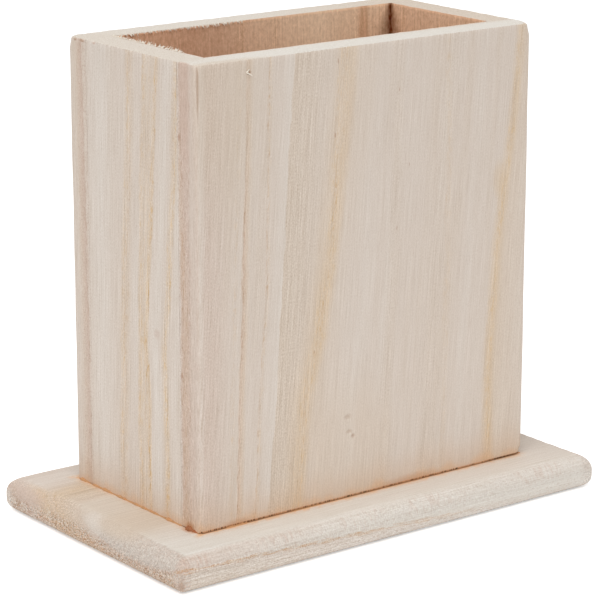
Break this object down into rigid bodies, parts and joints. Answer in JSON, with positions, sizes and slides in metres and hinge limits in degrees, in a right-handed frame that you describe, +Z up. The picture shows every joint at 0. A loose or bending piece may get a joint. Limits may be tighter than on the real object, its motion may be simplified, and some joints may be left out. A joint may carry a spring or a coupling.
{
  "type": "pen cup",
  "caption": "Open-topped rectangular wooden cup for pens, made of upright boards glued to a wider base plate with rounded edges.",
  "frame": {"origin": "centre of the base plate's underside", "axes": "+Z up, +X along the wide way of the cup, front at -Y"},
  "size_m": [0.118, 0.07, 0.11],
  "materials": {
    "base_wood": "bare sanded pale softish wood, grain along the plate",
    "board_wood": "bare sanded pale softish wood, upright grain",
    "dried_glue": "dried amber wood glue"
  },
  "bodies": {
    "root": {"base_plate": "base_wood", "front_board": "board_wood", "back_board": "board_wood", "left_side_board": "board_wood", "right_side_board": "board_wood", "corner_glue_films": "dried_glue", "foot_glue_film": "dried_glue"}
  },
  "joints": []
}
